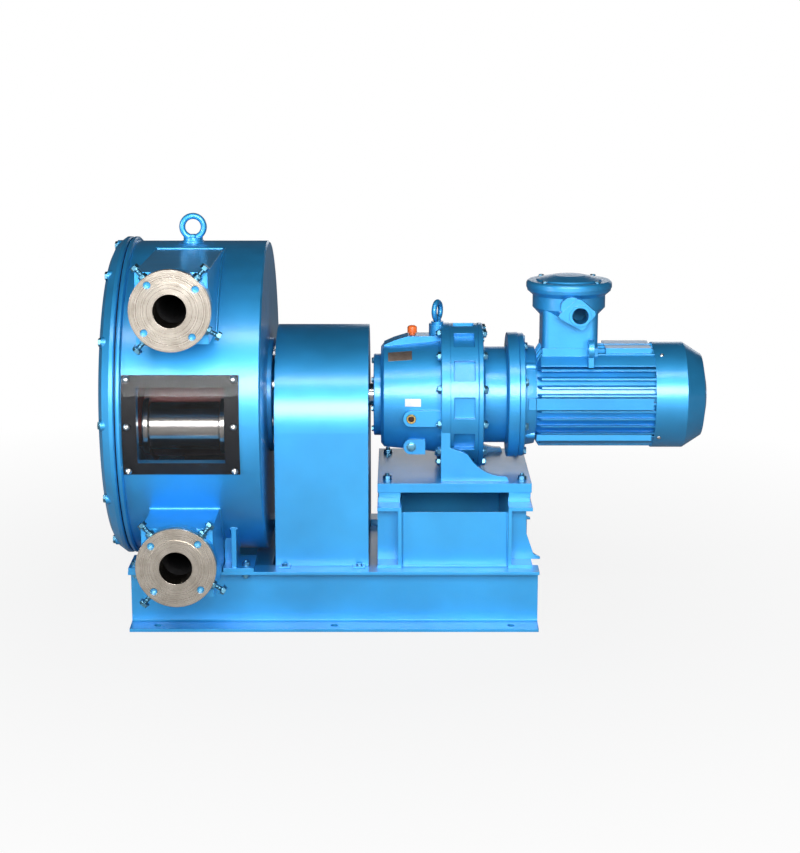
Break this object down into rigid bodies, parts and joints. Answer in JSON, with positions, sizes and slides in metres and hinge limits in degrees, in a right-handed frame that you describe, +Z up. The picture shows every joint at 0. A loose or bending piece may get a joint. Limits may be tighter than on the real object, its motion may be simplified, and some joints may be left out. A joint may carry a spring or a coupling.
{
  "type": "peristaltic hose pump",
  "caption": "Peristaltic hose pump with side ports and window, guarded coupling, cycloidal gearbox and flange motor on a channel base.",
  "frame": {"origin": "centre of the anchor pattern in the underside of the base", "axes": "+X along the shaft from the pump head to the motor, +Y away from the ports, +Z up"},
  "size_m": [1.548, 0.995, 1.0445],
  "materials": {
    "blue_paint": "gloss",
    "stainless": "turned",
    "bright_steel": "ground",
    "polished_steel": "polished",
    "black_rubber": "matt",
    "dark_gasket": "satin",
    "clear_pane": "clear",
    "red_paint": "gloss",
    "cast_iron": "machined",
    "mixed_plugs": "gloss",
    "black_plastic": "matt"
  },
  "bodies": {
    "root": {"base_channels": "blue_paint", "base_crossbeams": "blue_paint", "drum_feet": "blue_paint", "drum_foot_bolts": "blue_paint", "stand_legs": "blue_paint", "stand_plates": "blue_paint", "gearbox_shims": "blue_paint", "gearbox_foot_bolts": "blue_paint", "drum_shell": "blue_paint", "port_nozzles": "blue_paint", "clamp_rings": "blue_paint", "upper_port_flange": "stainless", "lower_port_flange": "stainless", "clamp_screws": "blue_paint", "hose": "black_rubber", "front_cover": "blue_paint", "cover_gasket": "black_rubber", "cover_bolts": "blue_paint", "window_gasket": "dark_gasket", "window_pane": "clear_pane", "window_screws": "bright_steel", "drum_eye_bolt": "blue_paint", "bearing_housing": "blue_paint", "housing_bolts": "bright_steel", "shaft_bearings": "bright_steel", "shaft_seal": "black_rubber", "coupling_guard": "blue_paint", "gearbox_housing": "blue_paint", "output_cover": "blue_paint", "gearbox_ring": "blue_paint", "ring_pins": "bright_steel", "ring_bolts": "blue_paint", "gearbox_bearings": "bright_steel", "motor_adapter": "blue_paint", "gearbox_plugs": "mixed_plugs", "gearbox_eye_bolt": "blue_paint", "motor_shield": "blue_paint", "motor_frame": "blue_paint", "motor_lug": "blue_paint", "motor_stator": "cast_iron", "motor_bearings": "bright_steel", "fan_cowl": "blue_paint", "terminal_box": "blue_paint", "terminal_lid": "blue_paint", "small_screws": "blue_paint"},
    "rotor": {"pump_shaft": "bright_steel", "rotor": "red_paint", "rotor_end_disc": "bright_steel", "roller_axles": "bright_steel", "coupling_halves": "cast_iron", "coupling_pins": "bright_steel", "output_shaft": "bright_steel"},
    "roller_a": {"roller_a": "polished_steel", "roller_bearings_a": "bright_steel"},
    "roller_b": {"roller_b": "polished_steel", "roller_bearings_b": "bright_steel"},
    "motor_rotor": {"motor_shaft": "bright_steel", "cooling_fan": "black_plastic"},
    "cycloid_a": {"cycloid_disc_a": "bright_steel"},
    "cycloid_b": {"cycloid_disc_b": "bright_steel"}
  },
  "joints": [
    {"name": "rotor_spin", "type": "hinge", "parent": "root", "child": "rotor", "pos_m": [0, 0, 0.5635], "axis": [1, 0, 0], "continuous": true, "deforming": ["hose"]},
    {"name": "roller_a_spin", "type": "hinge", "parent": "rotor", "child": "roller_a", "pos_m": [-0.37, -0.27119, 0.53787], "axis": [1, 0, 0], "continuous": true},
    {"name": "roller_b_spin", "type": "hinge", "parent": "rotor", "child": "roller_b", "pos_m": [-0.37, 0.27119, 0.58913], "axis": [1, 0, 0], "continuous": true},
    {"name": "motor_spin", "type": "hinge", "parent": "root", "child": "motor_rotor", "pos_m": [0.6, 0, 0.5635], "axis": [1, 0, 0], "continuous": true},
    {"name": "cycloid_a_spin", "type": "hinge", "parent": "motor_rotor", "child": "cycloid_a", "pos_m": [0.314, 0, 0.5605], "axis": [1, 0, 0], "continuous": true},
    {"name": "cycloid_b_spin", "type": "hinge", "parent": "motor_rotor", "child": "cycloid_b", "pos_m": [0.335, 0, 0.5665], "axis": [1, 0, 0], "continuous": true}
  ],
  "couplings": [
    {"joint": "roller_a_spin", "follows": "rotor_spin", "ratio": -5.54},
    {"joint": "roller_b_spin", "follows": "rotor_spin", "ratio": -5.54},
    {"joint": "motor_spin", "follows": "rotor_spin", "ratio": -29},
    {"joint": "cycloid_a_spin", "follows": "rotor_spin", "ratio": 30},
    {"joint": "cycloid_b_spin", "follows": "rotor_spin", "ratio": 30}
  ]
}
